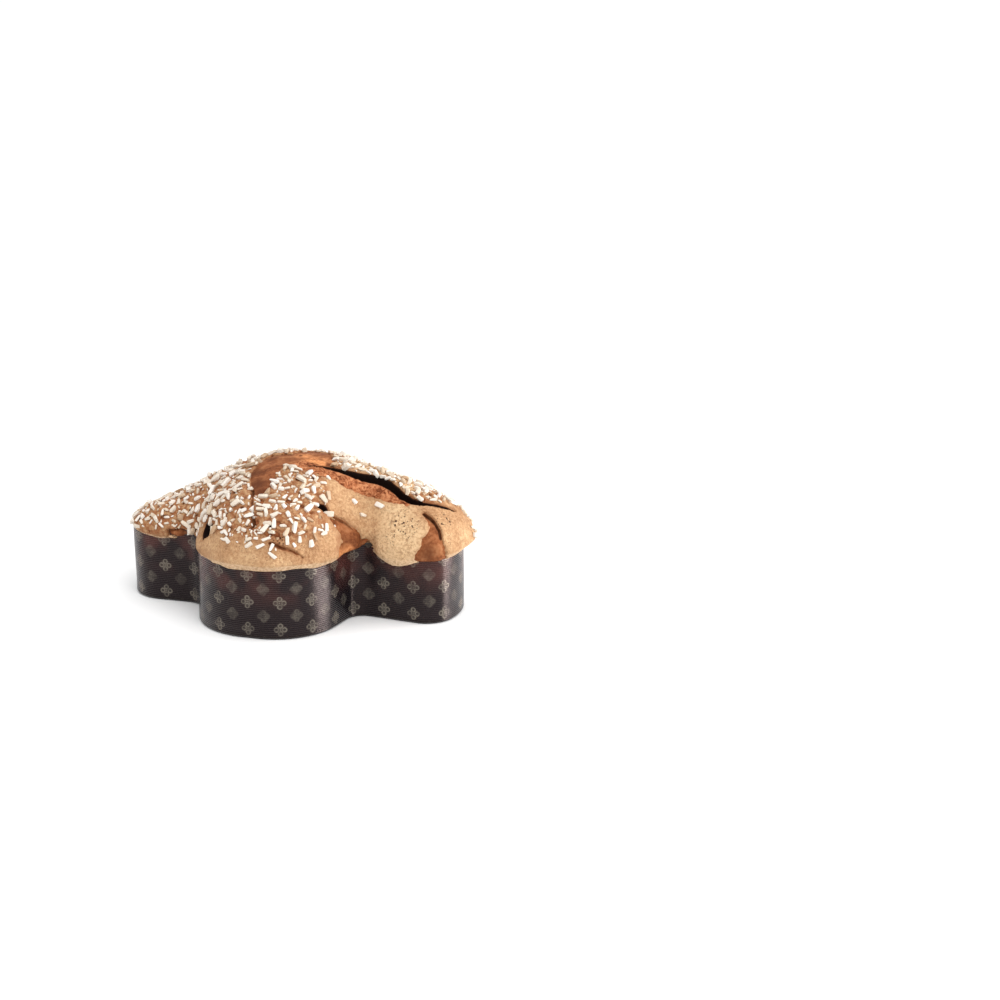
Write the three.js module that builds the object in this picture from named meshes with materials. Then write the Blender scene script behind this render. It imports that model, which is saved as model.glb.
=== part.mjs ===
// A dove-shaped Easter cake in the paper case it was baked in.
// Units are millimetres. +X runs along the body to the tail, +Z is up, and the cake stands on z = 0.
// The origin lies on the ground under the top of the dome.
import * as THREE from "three";

// ---- Paper case ----
const CASE_HEIGHT = 64;
const PAPER = 1.2; // thickness of the wall and of the floor
const FOLD = 2; // how far the wall is rounded in where it is folded into the floor
const GAP = 0.3; // clearance between the paper and the cake

// Corners of one half of the case's plan, from the middle of the tail round to the middle of the head.
// r is the radius that rounds each corner; the other half is its mirror image.
const HALF_PLAN = [
  { x: 143.5, y: 0, r: 60 }, // tail end
  { x: 134.5, y: 38, r: 24 }, // tail corner
  { x: 57.5, y: 28.5, r: 14 }, // notch between tail and wing
  { x: 43.5, y: 107, r: 53 }, // wing, tail side
  { x: -61.5, y: 105, r: 58 }, // wing, head side
  { x: -75.5, y: 38, r: 22 }, // notch between wing and head
  { x: -144.5, y: 38, r: 31 }, // head corner
  { x: -154, y: 0, r: 42 }, // head end
];

// ---- Cake ----
// Where the risen cake bulges out over the rim and sags below it, most at the named point.
const LIPS = [
  { x: 97, y: -42, reach: 28, out: 12, sag: 15 }, // tail, near flank
  { x: 128, y: -36, reach: 32, out: 10, sag: 6 }, // tail, near corner
  { x: 94, y: 42, reach: 42, out: 11, sag: 8 }, // tail, far flank
  { x: 143.5, y: 0, reach: 50, out: 11, sag: 3 }, // tail end
  { x: 12, y: -108, reach: 58, out: 7, sag: 0.5 }, // near wing
  { x: 47, y: -70, reach: 30, out: 8, sag: 3.5 }, // near wing, tail side
  { x: 60, y: -38, reach: 18, out: 13, sag: 0 }, // near notch between wing and tail
  { x: -9, y: 108, reach: 66, out: 8.5, sag: 2 }, // far wing
  { x: -114, y: -40, reach: 42, out: 3, sag: 8 }, // head, near flank
  { x: -125, y: 40, reach: 42, out: 3, sag: 4 }, // head, far flank
];
const LIP_LEAST = 0.3; // the cake stands at least this far out over the rim
const BELLY_RISE = 2; // the lip is widest this far above the rim
const CROWN = 65; // height of the dome's top above the lip
const TOP_RADIUS = 60; // how broadly the top of the dome is rounded
const FALL = { head: 0.7, tail: 0.4, near: 0.5, far: 0.85 }; // slope of the dome towards each lobe
const LOBE = { head: 12, tail: 14, near: 28, far: 22 }; // least height of each lobe's ridge
const TURN = 50; // half the width over which the slopes on the two sides change into each other
const BLEND = 8; // softness where the dome runs out into a lobe
const EDGE = 29; // distance from the rim over which the edge rounds up to the ridge
const EDGE_POWER = 0.8; // 0.5 would round the edge as a quarter circle
const DROOP = { x: -158, y: 8, reach: 44, share: 0.6 }; // the head's end lies lower

// ---- Fineness of the meshes ----
const AROUND = 168;
const AROUND_FINE = 640;
const TOP_RINGS = 13;
const ALONG = 0.8; // the rings' lines bend at this share of their way along a lobe,
const ACROSS = 0.25; // and this share of their way across it
const NOTCH_SPAN = [0.55, 0.9]; // from wing to head or tail, as the squared cosine of the angle to X

// Smooth step from 0 at -TURN to 1 at +TURN.
const turnShare = (v) => THREE.MathUtils.smoothstep(v, -TURN, TURN);

// A round bump, 1 at its centre and 0 from its reach outwards.
function bump(spot, x, y) {
  const t = Math.min(Math.hypot(x - spot.x, y - spot.y) / spot.reach, 1);
  return (1 - t * t) ** 2;
}

// The closed plan as a path of straight stretches and arcs, anticlockwise from above.
function planPath() {
  const back = HALF_PLAN.slice(1, -1).reverse();
  const corners = [...HALF_PLAN, ...back.map((c) => ({ ...c, y: -c.y }))];
  const path = new THREE.Path();
  corners.forEach((corner, i) => {
    const here = new THREE.Vector2(corner.x, corner.y);
    const last = corners[(i + corners.length - 1) % corners.length];
    const next = corners[(i + 1) % corners.length];
    const toLast = new THREE.Vector2(last.x, last.y).sub(here).normalize();
    const toNext = new THREE.Vector2(next.x, next.y).sub(here).normalize();
    const half = Math.acos(toLast.dot(toNext)) / 2;
    const middle = toLast.clone().add(toNext).normalize();
    const centre = here.clone().addScaledVector(middle, corner.r / Math.sin(half));
    const tangent = corner.r / Math.tan(half);
    const from = here.clone().addScaledVector(toLast, tangent).sub(centre);
    const to = here.clone().addScaledVector(toNext, tangent).sub(centre);
    const clockwise = toNext.cross(toLast) < 0;
    path.absarc(centre.x, centre.y, corner.r, from.angle(), to.angle(), clockwise);
  });
  return path.closePath();
}

// Evenly spaced points of the plan, each with its outward normal.
function outline(count) {
  const points = planPath().getSpacedPoints(count).slice(0, count);
  return points.map((point, i) => {
    const along = points[(i + 1) % count].clone().sub(points[(i + count - 1) % count]);
    return { x: point.x, y: point.y, normal: new THREE.Vector2(along.y, -along.x).normalize() };
  });
}

// One ring of points: the plan moved out by offset(point), at height z(point).
function ring(plan, offset, z) {
  return plan.map((p) => {
    const away = typeof offset === "function" ? offset(p) : offset;
    const height = typeof z === "function" ? z(p) : z;
    return [p.x + p.normal.x * away, p.y + p.normal.y * away, height];
  });
}

// A closed mesh through a stack of rings, from a centre point under the first to one over the last.
function loft(rings, firstCentre, lastCentre) {
  const around = rings[0].length;
  const positions = [...rings.flat(2), ...firstCentre, ...lastCentre];
  const first = rings.length * around;
  const index = [];
  for (let i = 0; i < around; i++) {
    const j = (i + 1) % around;
    index.push(first, j, i);
    for (let k = 0; k + 1 < rings.length; k++) {
      const low = k * around;
      const high = low + around;
      index.push(low + i, low + j, high + j, low + i, high + j, high + i);
    }
    const top = (rings.length - 1) * around;
    index.push(top + i, top + j, first + 1);
  }
  const geometry = new THREE.BufferGeometry();
  geometry.setAttribute("position", new THREE.Float32BufferAttribute(positions, 3));
  geometry.setIndex(index);
  geometry.computeVertexNormals();
  return geometry;
}

// How far the cake stands out over the rim, and how far it sags below it, at a point of the plan.
function overhang(p) {
  const most = (key) =>
    LIPS.reduce((sum, lip) => sum + (lip[key] * bump(lip, p.x, p.y) ** 0.5) ** 4, 0) ** 0.25;
  return { out: LIP_LEAST + most("out"), sag: most("sag") };
}

// A smooth measure of how far inside the edge a point lies: the true distance near the edge, less than
// it further in, without creases.
function depthInside(x, y, edge) {
  let sum = 0;
  edge.forEach((q, i) => {
    const next = edge[(i + 1) % edge.length];
    const step = Math.hypot(next[0] - q[0], next[1] - q[1]);
    sum += step / Math.hypot((q[0] + next[0]) / 2 - x, (q[1] + next[1]) / 2 - y) ** 3;
  });
  return 1 / Math.sqrt(sum / 2);
}

// Height of the cake's top at a point that lies depth inside the edge.
function topHeight(x, y, depth) {
  const radius = Math.hypot(x, y);
  const lengthwise = radius > 0 ? (x / radius) ** 2 : 0;
  const mix = (by) =>
    THREE.MathUtils.lerp(
      THREE.MathUtils.lerp(by.near, by.far, turnShare(y)),
      THREE.MathUtils.lerp(by.head, by.tail, turnShare(x)),
      lengthwise,
    );
  const dome = CROWN - mix(FALL) * (Math.hypot(radius, TOP_RADIUS) - TOP_RADIUS);
  const lobe = mix(LOBE);
  const ridge = lobe + BLEND * Math.log1p(Math.exp((dome - lobe) / BLEND));
  const inward = 1 - Math.min(depth / EDGE, 1);
  const edge = (1 - inward * inward) ** EDGE_POWER;
  const droop = 1 - DROOP.share * bump(DROOP, x, y);
  return CASE_HEIGHT + BELLY_RISE + ridge * edge * droop;
}

// A point of the edge carried inwards, share of the way out from the dome's top. It first crosses its
// lobe towards the lobe's middle line and then follows that line, so that the rings don't bunch up.
function carried(x, y, share) {
  const lengthwise = THREE.MathUtils.smoothstep((x * x) / (x * x + y * y), ...NOTCH_SPAN);
  const bendX = x * THREE.MathUtils.lerp(ACROSS, ALONG, lengthwise);
  const bendY = y * THREE.MathUtils.lerp(ALONG, ACROSS, lengthwise);
  const rest = 2 * share * (1 - share);
  return [x * share * share + bendX * rest, y * share * share + bendY * rest];
}

function caseGeometry() {
  const plan = outline(AROUND);
  const rings = [
    ring(plan, -FOLD, 0),
    ring(plan, -0.3 * FOLD, 0.3 * FOLD),
    ring(plan, 0, FOLD),
    ring(plan, 0, CASE_HEIGHT),
    ring(plan, -PAPER, CASE_HEIGHT),
    ring(plan, -PAPER, PAPER + FOLD),
    ring(plan, -PAPER - 0.3 * FOLD, PAPER + 0.3 * FOLD),
    ring(plan, -PAPER - FOLD, PAPER),
  ];
  return loft(rings, [0, 0, 0], [0, 0, PAPER]);
}

function cakeGeometry() {
  const plan = outline(AROUND);
  const inside = PAPER + GAP;
  const rim = CASE_HEIGHT + GAP;
  const out = (p) => overhang(p).out;
  const sag = (p) => overhang(p).sag;
  const widest = (p) => GAP + out(p);
  const edge = ring(outline(AROUND_FINE), widest, 0);
  const rings = [
    ring(plan, -inside - FOLD, inside),
    ring(plan, -inside, inside + FOLD),
    ring(plan, -inside, rim),
    ring(plan, GAP, rim),
    ring(plan, GAP, (p) => rim - 0.1 - sag(p)),
    ring(plan, (p) => GAP + 0.5 * out(p), (p) => rim - 0.2 - sag(p) - 0.1 * out(p)),
    ring(plan, (p) => GAP + 0.88 * out(p), (p) => rim - 0.5 * sag(p)),
    ring(plan, widest, CASE_HEIGHT + BELLY_RISE),
  ];
  const widestRing = rings.at(-1);
  for (let k = 1; k < TOP_RINGS; k++) {
    const share = 1 - (k / TOP_RINGS) ** 1.4;
    rings.push(
      widestRing.map(([x, y]) => {
        const [px, py] = carried(x, y, share);
        return [px, py, topHeight(px, py, depthInside(px, py, edge))];
      }),
    );
  }
  return loft(rings, [0, 0, inside], [0, 0, topHeight(0, 0, depthInside(0, 0, edge))]);
}

const cake = new THREE.Mesh(
  cakeGeometry(),
  new THREE.MeshStandardMaterial({ color: 0xc89a66, roughness: 0.85, metalness: 0 }),
);
cake.name = "cake";

const paperCase = new THREE.Mesh(
  caseGeometry(),
  new THREE.MeshStandardMaterial({ color: 0x2e2426, roughness: 0.5, metalness: 0 }),
);
paperCase.name = "paper_case";

const colomba = new THREE.Group();
colomba.add(paperCase, cake);

export default colomba;
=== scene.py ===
import math

import bpy
import numpy as np
from mathutils import Matrix, Vector, noise


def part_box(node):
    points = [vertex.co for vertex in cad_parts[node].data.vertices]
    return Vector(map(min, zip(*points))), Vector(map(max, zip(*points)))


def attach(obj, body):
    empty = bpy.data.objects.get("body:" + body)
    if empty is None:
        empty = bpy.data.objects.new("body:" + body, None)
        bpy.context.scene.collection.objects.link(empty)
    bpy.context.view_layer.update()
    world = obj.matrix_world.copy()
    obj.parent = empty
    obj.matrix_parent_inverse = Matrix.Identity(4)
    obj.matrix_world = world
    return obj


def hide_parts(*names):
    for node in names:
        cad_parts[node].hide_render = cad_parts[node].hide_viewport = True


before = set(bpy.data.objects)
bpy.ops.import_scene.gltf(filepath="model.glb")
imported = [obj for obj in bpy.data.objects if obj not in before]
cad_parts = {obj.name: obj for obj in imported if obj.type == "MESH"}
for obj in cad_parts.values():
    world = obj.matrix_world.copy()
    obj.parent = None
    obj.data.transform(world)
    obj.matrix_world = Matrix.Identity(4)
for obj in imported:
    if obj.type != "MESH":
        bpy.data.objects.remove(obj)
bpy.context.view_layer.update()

MM = 0.001

# ---- View ----
# The camera sees the look point at the look pixel, from this azimuth, elevation and distance.
IMAGE_SIZE = 1000
AZIMUTH = math.radians(21.44)
ELEVATION = math.radians(18.17)
DISTANCE = 1.86
FOCAL_PIXELS = 2146  # focal length in pixels of the image
SENSOR_WIDTH = 36
LOOK_POINT = Vector((-6.5, 0, 45)) * MM
LOOK_PIXEL = (295.8, 547.8)

# ---- Paper case ----
CASE_FOLD = 2 * MM  # radius of the fold between wall and floor
FOLD_SHARES = [(1, 0), (0.6, 0.15), (0.15, 0.6)]  # points of the fold: in from the wall, and up
UNDERSIDE_INSET = 8 * MM  # the underside's inmost row lies this far inside the wall
RIM_HEIGHT = 65.3 * MM  # the paper's edge, where it stands free of the cake
RIM_WAVE = 0.5 * MM
RIM_WAVE_START = 50 * MM  # height from which the rim's waves begin
RIM_WAVE_WIDTH = 16 * MM
PAPER_THICK = 0.6 * MM
RIB_PITCH = 1.7 * MM  # the paper's horizontal corrugation
RIB_DEPTH = 0.12 * MM  # how far its ribs stand out, and its grooves in
INNER_HEIGHTS = [50 * MM, 35 * MM, 20 * MM, 4 * MM]  # rows down the wall's inner face
INNER_FLOOR = [(-3.2 * MM, 1.2 * MM), (-9 * MM, 1 * MM)]  # offset from the wall, and height
WALL_COLUMNS = 460
WALL_WAVE = 0.5 * MM
WALL_WAVE_START = 12 * MM  # the wall is straight at the fold and waves freely from this height
WALL_WAVE_WIDTH = 24 * MM
WALL_WAVE_SQUEEZE = 0.4  # the waves are longer upwards than along the wall

# ---- Print ----
PRINT_PITCH = 27.5 * MM
PRINT_ROW = 23.2 * MM  # between two outlined rows, with a filled row staggered halfway
PRINT_START = (-8 * MM, 32 * MM)  # a rosette's x on the near wing, and its height
PRINT_WING = 20 * MM  # that wing's wall lies this close to the case's nearest point
PRINT_RADIUS = 5.8 * MM
LOOP_PLACE = 0.58  # from a rosette's middle to a loop's, as a share of its radius
LOOP_LINE = [(0.16, 0.26), (0.34, 0.44)]  # inner and outer edge of a loop's line
DOT_EDGE = (0.06, 0.16)
DISC_EDGE = (0.5, 1.1)
DISC_POWER = 1.5  # 1 would be a diamond and 2 a circle
OUTLINED_INK = (0.42, 0.1)  # of the line and the disc, in one row
FILLED_INK = (0.08, 0.16)  # and in the next

# ---- Cake ----
VOXEL = 1.7 * MM
EDGE_REACH = 3 * MM  # the mesh is finer within this distance of the edge of a crack or bare patch
CRACK_REACH = 1.5 * MM  # and finer again within this distance of a crack's edge
LIP_START = 0.31 * MM  # the cake's lip begins this far outside the wall and above the rim
PLUG_TOP = 56 * MM  # the cake's body is first closed at this height, inside the case
PLUG_INSET = 3 * MM  # and this far inside its wall
PLUG_FLOOR = 1.8 * MM  # the crust's underside is then lowered to here
CRACK_RAG = 0.35  # how ragged a crack's edge is beside a patch's
CRACK_SLOPE = 2.5  # how steeply a crack's walls fall
CRACK_DARK = (-1 * MM, 0.3 * MM)  # a crack's black, part burnt crust and part painted shade, begins outside its edge and is full inside it
TUCK_HEIGHT = (66 * MM, 69 * MM)  # below this ramp the cake's thin edge is drawn in behind the paper
TUCK_GAP = (1.3 * MM, 2.8 * MM)  # where it stands out less than this ramp
TUCK_INSET = 1.5 * MM
SHRINK = 0.8 * MM  # how far the crust lies inside the CAD cake where the glaze covers it
PATCH_BLEND = 4 * MM  # the crust rises from there over this much of a bare patch's edge
TORN_BLEND = 3 * MM  # and turns rough over this much of the torn slope's
TORN_FADE = 4 * MM  # the torn slope's colour fades out this far beyond its edge

# Unevenness of the bake and of ragged edges: the height and width of its lumps.
BROAD_LUMPS = (0.8 * MM, 36 * MM)
SMALL_LUMPS = (0.35 * MM, 12 * MM)
TORN_LUMPS = (0.9 * MM, 5 * MM)
TORN_GRAIN = (0.5 * MM, 2.4 * MM)
COARSE_RAG = (1.4 * MM, 10 * MM)
FINE_RAG = (0.8 * MM, 3.5 * MM)

# ---- Glaze ----
GLAZE_THICK = 1.6 * MM
GLAZE_LUMPS = (0.25, 8 * MM)  # height as a share of the thickness, and width
GLAZE_GRAIN = (0.15, 3 * MM)
GLAZE_SHELL = 2.1 * MM  # the shell's own thickness, part of it sunk in the crust
GLAZE_DIP = 1.3 * MM  # how deep the glaze's edge dips into the crust
GLAZE_RISE = 0.6 * MM  # half the width over which its edge rises
GLAZE_TRIM = 1 * MM  # the shell is cut off this far outside its edge
CRACK_MARGIN = 0.7 * MM  # the glaze stands back this far from a crack
UNDER_SLOPE = 0.9  # the glaze reaches round the lip until the surface faces down this much
UNDER_FADE = 12 * MM  # what one unit of that slope counts for, as a distance to the glaze's edge
UNDER_THIN = 0.35  # share of its thickness that the glaze keeps under the lip
UNDER_RAMP = (-0.7, 0.1)  # slopes between which it thins to that
INNER_TURN = 0.25  # below the rim the glaze ends where the lip turns back to the paper this much
INNER_FADE = 8 * MM
INNER_REACH = 2 * MM  # if it is no further than this from the paper
INNER_RELEASE = 40  # how steeply that limit lapses further out
GAP_LEVEL = 0.66  # grain above this leaves a small gap in the glaze between the nibs
GAP_WIDTH = 4 * MM
EDGE_WIDTH = 3 * MM  # of the browner band along the glaze's edge
RIM_LIGHT_SLOPE = (-0.42, -0.26)  # the painted rim highlight, a paler glaze on the down-facing lip, begins where the lip faces down this much

# ---- Sugar nibs ----
SUGAR_SEED = 12
NIB_TRIES = 12000
NIB_COUNT = 1320
NIB_LENGTH = 7 * MM
NIB_LONGEST = 9.5 * MM
NIB_SPREAD = 0.24  # of the lengths, as the deviation of their logarithm
NIB_WIDTH = (0.38, 0.62)  # as a share of the length
NIB_HEIGHT = (0.65, 0.95)  # as a share of the width
NIB_SPACING = 0.9  # of the mean of a nib's length and width
NIB_CELL = 6 * MM  # side of the cubes in which a nib's neighbours are looked for
NIB_TILT = 0.3  # how far nibs lean, in radians
NIB_SINK = 0.22  # share of its height that a nib is sunk in the glaze
NIB_LOWEST = 65.5 * MM  # below this height the nibs thin out
NIB_FADE = 3 * MM
NIB_SLOPE = (-0.3, 0.1)  # nibs stick where the surface faces up more than this
NIB_MARGIN = (0.6 * MM, 1.2 * MM)  # from a crack or a bare patch
NIB_KINDS = 10  # differently chipped blocks
NIB_BEVEL = (0.12, 0.22)  # of a block 1 across
NIB_CHIPS = 4  # facets cut off a block
NIB_CHIP_PLACE = (0.34, 0.5)  # their distance from its middle
NIB_TAPER = 0.35  # how much narrower one end may be
NIB_LUMPS = 0.15
CRUMB_SHARE = 0.2
CRUMB_LENGTH = (2 * MM, 3.5 * MM)
HEAP_CORE = 0.3  # a heap is level within this share of its reach

# Where the glaze is nearly free of nibs. Each pair is a ramp in millimetres.
BARE_SHARE = 0.99
LIP_HEIGHT = (78, 90)  # the near lip, below this height
LIP_RAG = (2, 9 * MM)  # how uneven that height is, and over what distance
LIP_X = (-76, -68)  # from the notch at the head on
PLATE_X = (36, 44)  # the smooth plate on the tail, up to the fissure
PLATE_Y = -40  # where PLATE_X is measured
PLATE_LEAN = 0.3  # how far its edge moves in x for each step in y
TAIL_END_SHARE = 0.9
TAIL_END_X = (124, 138)
TAIL_END_LEAN = -0.4
FAR_TAIL_SHARE = 0.7
FAR_TAIL_X = (60, 90)
FAR_TAIL_Y = (16, 34)
HEAD_END_X = (-153, -147)

# ---- Colours ----
CRUST_BROWNS = [(0.38, (0.135, 0.04, 0.015)), (0.5, (0.27, 0.09, 0.034)), (0.62, (0.4, 0.165, 0.07))]
# The golds are partly a golden bake and partly painted light on the lit parts of the bare crust.
CRUST_LIT_GOLDS = [(0.35, (0.48, 0.165, 0.055)), (0.6, (0.82, 0.35, 0.14))]
TORN_BROWNS = [(0.36, (0.08, 0.02, 0.008)), (0.48, (0.33, 0.105, 0.042)), (0.62, (0.56, 0.24, 0.11))]
CRUST_DARKEST = (0.10, 0.03, 0.012)
# The black in the cracks is partly burnt crust and partly painted shade.
CRACK_BURNT_SHADE = (0.008, 0.003, 0.002)
GLAZE_TANS = [(0.36, (0.30, 0.14, 0.06)), (0.5, (0.49, 0.275, 0.135)), (0.64, (0.66, 0.43, 0.235))]
GLAZE_PALE = (0.74, 0.51, 0.29)
GLAZE_EDGE = (0.30, 0.12, 0.045)
GLAZE_AMBER = (0.29, 0.10, 0.034)
# Painted highlight: a paler glaze colour on the down-facing lip, for its bright rim line.
GLAZE_RIM_LIGHT = (0.76, 0.54, 0.34)
GLAZE_PORE = (0.14, 0.06, 0.025)
GLAZE_BROWNED = (0.33, 0.125, 0.05)
# Painted shade: the pits in the glaze are near-black, darker than the crust.
GLAZE_PIT_SHADE = (0.05, 0.02, 0.01)
SUGAR_WHITES = [
    (0, (0.42, 0.25, 0.13)), (0.1, (0.6, 0.46, 0.32)), (0.25, (0.74, 0.65, 0.53)), (1, (0.88, 0.84, 0.79)),
]
SUGAR_GRAIN = (0.5, 0.36, 0.24)
PAPER_BLACK = (0.005, 0.004, 0.0055)
# Painted sheen: a warmer reddish colour on the upper part of the wall.
PAPER_PAINTED_SHEEN = (0.07, 0.024, 0.02)
# Painted shade: the foot of the wall darkened as contact shadow.
PAPER_FOOT_SHADE = (0.003, 0.002, 0.002)
PAPER_SHEEN = (1, 0.76, 0.72)
INK_GOLD = (0.34, 0.30, 0.24)
FLOOR_WHITE = (0.95, 0.95, 0.95)

# ---- Studio ----
LIGHT_TARGET = Vector((0, 0, 70)) * MM
SOFTBOXES = [  # name, azimuth and elevation in degrees, distance, width and height, power
    ("key", 103, 7, 1.3, (0.85, 0.2), 12),
    ("front", 40, 42, 1.4, (1, 1), 8),
    ("fill", -110, 24, 1.3, (0.4, 0.4), 0.3),
]
SKY_POWER = 2.3
SKY_SPREAD = 100  # degrees
ROOM_LIGHT = 0.4
FLOOR_SIZE = 40
FLOOR_DROP = 0.2 * MM  # the floor lies this far under the case

# ---- Features ----
# Chains of balls (x, y, z, radius) in millimetres that trace a feature on the cake's surface.
FISSURE = [
    (17, -23, 128, 1), (34, -19, 126, 2.2), (46, -18, 123, 3.2), (55, -15, 121, 4), (64, -13, 118, 5),
    (73, -10, 116, 5.4), (81, -11, 113, 5), (90, -14, 109, 4), (97, -19, 106, 3.8), (106, -20, 103, 3.6),
    (115, -18, 100, 2.6), (123, -14, 98, 1.8), (129, -9, 95, 2), (137, -1, 91, 1),
]
FRONT_HOLE = [(41, -64, 106, 2.4), (44, -62, 103, 3.6), (46, -61, 100, 1)]
FRONT_SEAM = [(47, -60, 99, 1), (51, -55, 93, 0.6), (56, -48, 88, 0.6), (62, -44, 81, 0.3)]
JUNCTION_HOLE = [(-54, -79, 86, 4), (-51, -84, 83, 6.5), (-55, -82, 81, 5.5), (-55, -85, 77, 3)]
TAIL_CRACK = [
    (119, -27, 94, 0.9), (123, -28, 92, 1.3), (128, -29, 88, 1.4), (133, -31, 82, 1.3), (135, -34, 76, 0.9),
]
DOME_CRACK = [
    (-16, -68, 115, 1.2), (-9, -88, 107, 0.1), (-6, -95, 101, 1.3), (-4, -99, 96, 1.6), (-7, -101, 93, 0.3),
]
SLIT = [(8, -96, 98, 0.6), (11, -97, 96, 1)]
LOW_GROOVE = [(12, -105, 84, 0.7), (21, -104, 81, 0.7), (30, -100, 77, 0.7), (37, -96, 71, 0.3)]
FAR_CRACK = [(-12, 22, 128, 0.8), (-4, 44, 122, 1.8), (6, 62, 114, 2.2), (10, 82, 103, 1.6), (6, 98, 90, 0.8)]
HEAD_CRACK = [(-58, 8, 108, 0.7), (-78, 14, 98, 1.4), (-98, 12, 88, 1.2), (-116, 18, 82, 0.6)]
CRACKS = [  # chain, depth
    (FISSURE, 11), (FRONT_HOLE, 6), (FRONT_SEAM, 1.5), (JUNCTION_HOLE, 8), (TAIL_CRACK, 4), (DOME_CRACK, 3),
    (SLIT, 3), (LOW_GROOVE, 2), (FAR_CRACK, 5), (HEAD_CRACK, 3),
]

# Bare crust, where the glaze has split away.
TOP_PATCH = [
    (20, -8, 130, 14), (8, 12, 130, 15), (4, -10, 131, 16), (-14, -14, 129, 18),
    (-18, -36, 125, 12.5), (-14, -52, 121, 10.5), (-10, -63, 117, 8), (-9, -71, 114, 3.5),
]
TORN_SLOPE = [
    (12, -24, 128, 8), (22, -27, 127, 8), (35, -29, 124, 7), (46, -28, 121, 6.5), (55, -25, 117, 7.5),
    (64, -21, 113, 7.5), (74, -19, 110, 7), (85, -20, 106, 6), (95, -22, 104, 4.5), (103, -24, 102, 2.5),
]
NOTCH_WEDGE = [
    (49, -62, 94, 1.5), (55, -53, 84, 5), (60, -48, 76, 8.5), (63, -44, 68, 10), (62, -48, 62, 13),
    (59, -56, 60, 13),
]
NOTCH_TIP = [(58, -36, 59, 6), (65, -32, 62, 6), (67, -38, 68, 4), (70, -37, 67, 4), (71, -37, 60, 6)]
TAIL_PATCH = [
    (123, -29, 91, 1.5), (129, -31, 86, 3.5), (131, -35, 79, 6), (130, -40, 71, 9.5), (130, -43, 62, 14),
]
HEAD_GAP = [(-103, -42, 62, 4), (-95, -42, 61, 6.5), (-87, -42, 60, 6.5), (-80, -41, 59, 5.5)]
FAR_PATCH = [(-16, 40, 123, 4), (-6, 58, 116, 7), (2, 78, 104, 6), (4, 92, 95, 3)]
FAR_NOTCH = [(50, 47, 90, 1.5), (54, 45, 80, 4.5), (57, 44, 67, 8)]
HEAD_PATCH = [(-70, 12, 101, 2), (-88, 15, 92, 4), (-104, 14, 86, 2.5)]
BARE = [
    TOP_PATCH, TORN_SLOPE, NOTCH_WEDGE, NOTCH_TIP, TAIL_PATCH, HEAD_GAP, FAR_PATCH, FAR_NOTCH, HEAD_PATCH,
]

# Broad swells and dents of the bake: x, y, z, reach, height.
SWELLS = [
    (62, -25, 113, 24, -2.5),
    (2, 10, 131, 60, -2.2),
    (-150, 8, 74, 34, -3),
    (-108, 25, 90, 32, -4),
    (-136, -8, 78, 16, 3),
    (71, -36, 66, 13, -4),
    (84, -50, 56, 14, 2),
]

# Spots where the crust is painted darkest: x, y, z, radius.
DARK_SPOTS = [
    (-26, -40, 122, 8), (-16, -60, 118, 9), (-10, -70, 115, 6), (46, -26, 118, 3), (128, -44, 66, 6),
    (56, -56, 72, 7), (-90, -43, 60, 6), (-20, -10, 127, 4),
]
# Where the glaze is palest, the crust is lightest, partly from a golden bake and partly as painted light, and
# the glaze is browned or full of pores.
PALE_SPOTS = [(100, -44, 72, 26), (95, -34, 92, 16), (60, 8, 120, 22), (95, 4, 108, 16)]
GOLDEN_LIT_SPOTS = [(20, -12, 130, 12), (30, -26, 126, 8), (4, -2, 131, 6), (46, -26, 121, 4), (58, -56, 66, 8)]
BROWNED_SPOTS = [(53, -65, 88, 3), (56, -63, 78, 5), (55, -67, 70, 5)]
PIT_PATCHES = [(105, -37, 87, 12), (96, -42, 76, 6), (134, -21, 88, 8), (70, -40, 96, 7), (20, -104, 90, 8)]

# Where the sugar lies thickest: x, y, z, reach, extra weight.
HEAPS = [
    (70, 2, 118, 34, 3), (34, 0, 128, 24, 2), (-40, -50, 112, 34, 0.8), (6, -60, 116, 26, 0.8),
    (30, -50, 112, 14, 0.9), (-110, -10, 84, 34, 0.7), (-52, -76, 96, 26, 0.5), (108, 2, 104, 26, 2),
]
# Spots on the bare glaze that catch a nib or two, in the same form.
LONE_NIBS = [
    (65, -32, 93, 4.5, 120), (61, -32, 100, 4, 120), (118, -24, 97, 4, 90), (15, -108, 77, 4, 300),
    (-5, -106, 85, 4, 300), (51, -82, 73, 3, 60),
]


# ---------------------------------------------------------------- helpers

def select_none():
    bpy.ops.object.select_all(action="DESELECT")


def select_only(obj):
    select_none()
    obj.select_set(True)
    bpy.context.view_layer.objects.active = obj


def points_of(mesh, field="co"):
    flat = np.empty(len(mesh.vertices) * 3)
    mesh.vertices.foreach_get(field, flat)
    return flat.reshape(-1, 3)


def move_points(mesh, points):
    mesh.vertices.foreach_set("co", np.ascontiguousarray(points).ravel())
    mesh.update()


def select_vertices(obj, chosen):
    """Leaves exactly the chosen vertices of obj selected, in edit mode."""
    select_only(obj)
    bpy.ops.object.mode_set(mode="EDIT")
    bpy.ops.mesh.select_mode(type="VERT")
    bpy.ops.mesh.select_all(action="DESELECT")
    bpy.ops.object.mode_set(mode="OBJECT")
    obj.data.vertices.foreach_set("select", chosen)
    bpy.ops.object.mode_set(mode="EDIT")


def apply_modifier(obj, kind, **settings):
    select_only(obj)
    modifier = obj.modifiers.new(kind, kind)
    for key, value in settings.items():
        setattr(modifier, key, value)
    bpy.ops.object.modifier_apply(modifier=modifier.name)


def copy_of(piece, name):
    """A copy of a piece, with a mesh of its own."""
    made = piece.copy()
    made.name = name
    made.data = piece.data.copy()
    bpy.context.collection.objects.link(made)
    return made


def paint(mesh, name, values):
    """Stores one number for each vertex, for a material to read."""
    attribute = mesh.attributes.new(name, "FLOAT", "POINT")
    attribute.data.foreach_set("value", np.asarray(values, dtype=np.float32))


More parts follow.
